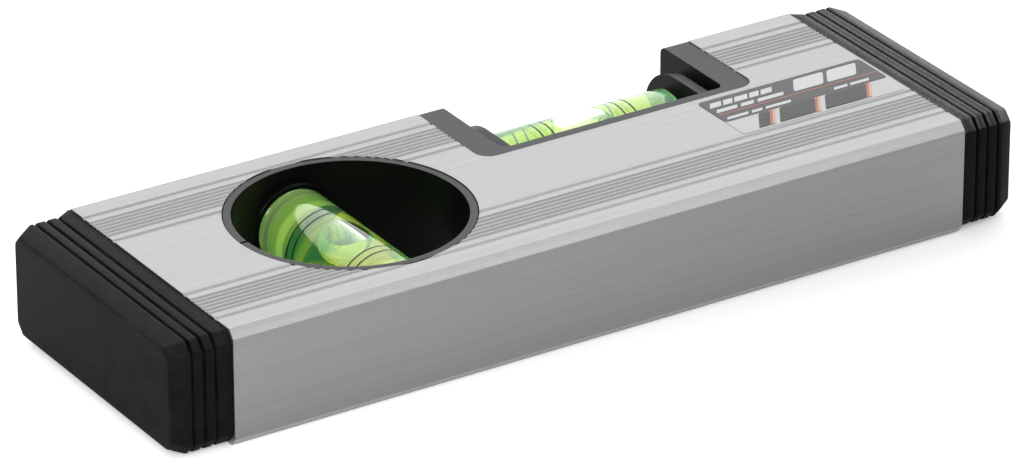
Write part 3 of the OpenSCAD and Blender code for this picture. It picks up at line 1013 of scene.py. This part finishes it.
@dataclass
class Label:
    """Film with plain fields of colour in place of words.

    Sizes in metres. A box is its left, lower, right and upper edge from the film's left lower corner,
    and each row has a name, a box and the relative width of its bars.
    """

    finishes: Finishes
    film_height: float = 0.04 * MM
    field_depth: float = 7.9 * MM
    corner: float = 0.6 * MM
    stripe: Box = (0.45 * MM, 7.43 * MM, 30.0 * MM, 7.68 * MM)
    rows: tuple[tuple[str, Box, tuple[float, ...]], ...] = (
        ("label_bar_upper", (0.6 * MM, 10.2 * MM, 12.1 * MM, 11.7 * MM), (1.2, 1.0, 1.4, 1.0, 1.2)),
        ("label_bar_middle", (0.6 * MM, 8.3 * MM, 13.0 * MM, 9.3 * MM), (2.2, 1.4, 2.8)),
        ("label_bar_lower", (0.7 * MM, 5.55 * MM, 12.5 * MM, 6.3 * MM), (2.0, 1.0, 2.4)),
        ("label_bar_end", (20.6 * MM, 5.55 * MM, 27.2 * MM, 6.3 * MM), (1.0, 1.4)))
    marks: tuple[Box, ...] = ((15.0 * MM, 8.4 * MM, 20.6 * MM, 12.0 * MM),
                              (21.3 * MM, 8.4 * MM, 26.8 * MM, 12.0 * MM))
    mark_corner: float = 0.5 * MM
    blocks: tuple[Span, ...] = ((3.2 * MM, 5.3 * MM), (7.1 * MM, 13.7 * MM), (15.6 * MM, 23.3 * MM))
    block_rise: Span = (0.55 * MM, 4.8 * MM)
    block_corner: float = 0.35 * MM
    block_edge: float = 0.5 * MM
    lean: float = 0.64

    def __post_init__(self) -> None:
        """Reads the film's box from the frame."""
        self.low, self.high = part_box("rating_label")
        self.width, self.depth, self.print_top = self.high - self.low

    def plate(self, name: str, box: Box, height: float, material: bpy.types.Material,
              corner: float = 0.0, lean: float = 0.0) -> bpy.types.Object:
        """Models a thin printed field.

        Args:
            name: Name of the piece.
            box: Its edges on the film, the left and right ones at the lower edge.
            height: How far its top stands above the film's base.
            material: Its ink.
            corner: Corner radius.
            lean: How far its sides lean to the right for each unit of rise.

        Returns:
            The piece.
        """
        Bench.clear()
        left, lower, right, upper = box
        middle = Vector((self.low.x + (left + right) / 2, self.low.y + (lower + upper) / 2, self.low.z))
        bpy.ops.mesh.primitive_plane_add(size=1, location=middle)
        piece = bpy.context.object
        piece.scale = (right - left, upper - lower, 1)
        Bench.apply()
        bpy.ops.object.mode_set(mode="EDIT")
        if corner:
            bpy.ops.mesh.select_all(action="SELECT")
            bpy.ops.mesh.bevel(offset=corner, segments=4, affect="VERTICES")
        bpy.ops.mesh.select_all(action="SELECT")
        bpy.ops.mesh.extrude_region_move(TRANSFORM_OT_translate={"value": (0, 0, height)})
        bpy.ops.mesh.select_all(action="SELECT")
        bpy.ops.mesh.normals_make_consistent(inside=False)
        bpy.ops.object.mode_set(mode="OBJECT")
        for vertex in piece.data.vertices:
            vertex.co.x += lean * (vertex.co.y - self.low.y - lower)
        Bench.keep(name, piece)
        dress(piece, material)
        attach(piece, BODY)
        return piece

    def bars(self, name: str, box: Box, widths: tuple[float, ...], height: float) -> None:
        """Prints a row of plain white bars where the real label has words.

        Args:
            name: Name that the bars share.
            box: Edges of the row.
            widths: Relative width of each bar, with a gap of a sixth of the mean between them.
            height: How far their tops stand above the film's base.
        """
        left, lower, right, upper = box
        gap = (right - left) / len(widths) / 6
        unit = (right - left - gap * (len(widths) - 1)) / sum(widths)
        place = left
        for number, width in enumerate(widths, start=1):
            self.plate(f"{name}_{number}", (place, lower, place + width * unit, upper), height,
                       self.finishes.white, lean=self.lean)
            place += width * unit + gap

    def build_field(self, height: float) -> None:
        """Models the dark field with its stripe, its rows of bars and its two plain marks.

        Args:
            height: How far its top stands above the film's base.
        """
        print_height = (height + self.print_top) / 2
        self.plate("label_dark_field", (0, self.depth - self.field_depth, self.width, self.depth), height,
                   self.finishes.field, self.corner)
        self.plate("label_stripe", self.stripe, print_height, self.finishes.orange)
        for name, box, widths in self.rows:
            self.bars(name, box, widths, print_height)
        for number, box in enumerate(self.marks, start=1):
            self.plate(f"label_mark_{number}", box, print_height, self.finishes.white,
                       self.mark_corner, self.lean)

    def build_blocks(self) -> None:
        """Models the plain black blocks, each with two orange edges at its right."""
        lower, upper = self.block_rise
        for number, (left, right) in enumerate(self.blocks, start=1):
            self.plate(f"label_block_{number}", (left, lower, right, upper), self.print_top,
                       self.finishes.black, self.block_corner, self.lean)
            for step, ink in enumerate((self.finishes.orange, self.finishes.pale_orange)):
                edge = (right + step * self.block_edge, lower, right + (step + 1) * self.block_edge, upper)
                self.plate(f"label_block_{number}_edge_{step + 1}", edge, self.print_top, ink, lean=self.lean)

    def build(self) -> None:
        """Models the film and everything printed on it."""
        film = self.plate("label_clear_film", (0, 0, self.width, self.depth), self.film_height,
                          self.finishes.film, self.corner)
        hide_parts("rating_label")
        self.build_field((self.film_height + self.print_top) / 2)
        self.build_blocks()
        log.info("label: film %.1f by %.1f mm", self.width / MM, self.depth / MM)


class PackedPieces:
    """The extruded beam, the window liner and the notch cradle, shown as packed."""

    def __init__(self, finishes: Finishes) -> None:
        """Pairs each node with its finish."""
        self.looks = {"beam": finishes.aluminium, "plumb_liner_near": finishes.liner,
                      "plumb_liner_far": finishes.liner, "level_cradle": finishes.cradle}

    def build(self) -> None:
        """Dresses each node."""
        for node, material in self.looks.items():
            dress(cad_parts[node], material)
            log.info("%s: dressed as packed", node)


@dataclass(frozen=True)
class SoftBox:
    """Square area light that faces the tool. Sizes in metres, power in watts."""

    name: str
    place: Triple
    size: float
    power: float

    def build(self) -> None:
        """Hangs the light."""
        data = bpy.data.lights.new(self.name, "AREA")
        data.size = self.size
        data.energy = self.power
        lamp = bpy.data.objects.new(self.name, data)
        lamp.location = self.place
        lamp.visible_camera = False
        lamp.rotation_euler = (-Vector(self.place)).to_track_quat("-Z", "Y").to_euler()
        bpy.context.scene.collection.objects.link(lamp)


@dataclass
class Studio:
    """Floor, light and camera. Sizes in metres, angles in degrees."""

    azimuth: float = 32.4443
    elevation: float = 26.3700
    roll: float = -0.0762
    distance: float = 1.04767
    aim_height: float = 9.5 * MM
    pan: Span = (-0.001487, -0.001485)
    focal_px: float = 6892.2
    frame_px: int = 1024
    sensor: float = 36.0
    floor_size: float = 6.0
    floor_gap: float = 0.02 * MM
    sky: float = 0.65
    glow: float = 1.62
    glow_towards: Triple = (0.32, 0.83, 0.45)
    glow_reach: Span = (0.45, 0.95)
    boxes: tuple[SoftBox, ...] = (SoftBox("left_box", (-0.20, -0.14, 0.12), 0.10, 0.2),
                                  SoftBox("front_box", (0.34, -0.44, 0.54), 0.35, 1.1))

    def build_floor(self) -> None:
        """Lays a large pale floor just under the tool."""
        Bench.clear()
        bpy.ops.mesh.primitive_plane_add(size=self.floor_size, location=(0, 0, -self.floor_gap))
        Bench.apply()
        floor = Bench.keep("studio_floor", bpy.context.object)
        dress(floor, StudioFloor("studio_floor").build())

    def build_light(self) -> None:
        """Sets a pale sky with a broad soft glow behind the tool, and the soft boxes."""
        bpy.context.scene.world = bpy.data.worlds.new("studio_sky")
        board = NodeBoard(bpy.context.scene.world)
        view = board.add("TexCoord").outputs["Generated"]
        facing = board.add("VectorMath", {0: view, 1: Vector(self.glow_towards).normalized()},
                           operation="DOT_PRODUCT")
        strength = board.span(facing.outputs["Value"], self.sky, self.sky + self.glow,
                              self.glow_reach, "SMOOTHSTEP")
        board.hand_over(board.add("Background", {"Color": (1.0, 1.0, 1.0, 1.0), "Strength": strength}))
        for box in self.boxes:
            box.build()

    def build_camera(self) -> None:
        """Places the camera at the photograph's viewing angle."""
        az, el, roll = (math.radians(a) for a in (self.azimuth, self.elevation, self.roll))
        back = Vector((-math.sin(az) * math.cos(el), -math.cos(az) * math.cos(el), math.sin(el)))
        level = (-back).cross(Vector((0, 0, 1))).normalized()
        rise = level.cross(-back)
        right = math.cos(roll) * level + math.sin(roll) * rise
        up = math.cos(roll) * rise - math.sin(roll) * level
        data = bpy.data.cameras.new("photo_camera")
        data.sensor_width = self.sensor
        data.lens = self.focal_px / self.frame_px * self.sensor
        camera = bpy.data.objects.new("photo_camera", data)
        aim = Vector((0, 0, self.aim_height)) + self.pan[0] * right + self.pan[1] * up
        turn = Matrix((right, up, back)).transposed().to_4x4()
        camera.matrix_world = Matrix.Translation(aim + self.distance * back) @ turn
        bpy.context.scene.collection.objects.link(camera)
        bpy.context.scene.camera = camera

    def build(self) -> None:
        """Sets the whole studio."""
        self.build_floor()
        self.build_light()
        self.build_camera()
        bpy.context.scene.view_settings.view_transform = "Standard"


def main() -> None:
    """Builds every piece in order."""
    logging.basicConfig(level=logging.INFO, format="%(name)s: %(message)s")
    finishes = Finishes()
    Studio().build()
    PackedPieces(finishes).build()
    for side in Side:
        EndCap(side, finishes).build()
    Vial(Run.ACROSS, finishes, (6.65 * MM, 8.3 * MM), bubble_half=5.3 * MM, bubble_at=1.0 * MM).build()
    Vial(Run.ALONG, finishes, (6.55 * MM, 8.5 * MM), bubble_half=5.9 * MM, bubble_at=-0.1 * MM,
         bubble_radius=3.8 * MM, bubble_up=2.4 * MM).build()
    Label(finishes).build()
    bpy.context.view_layer.update()


if __name__ == "__main__":
    main()
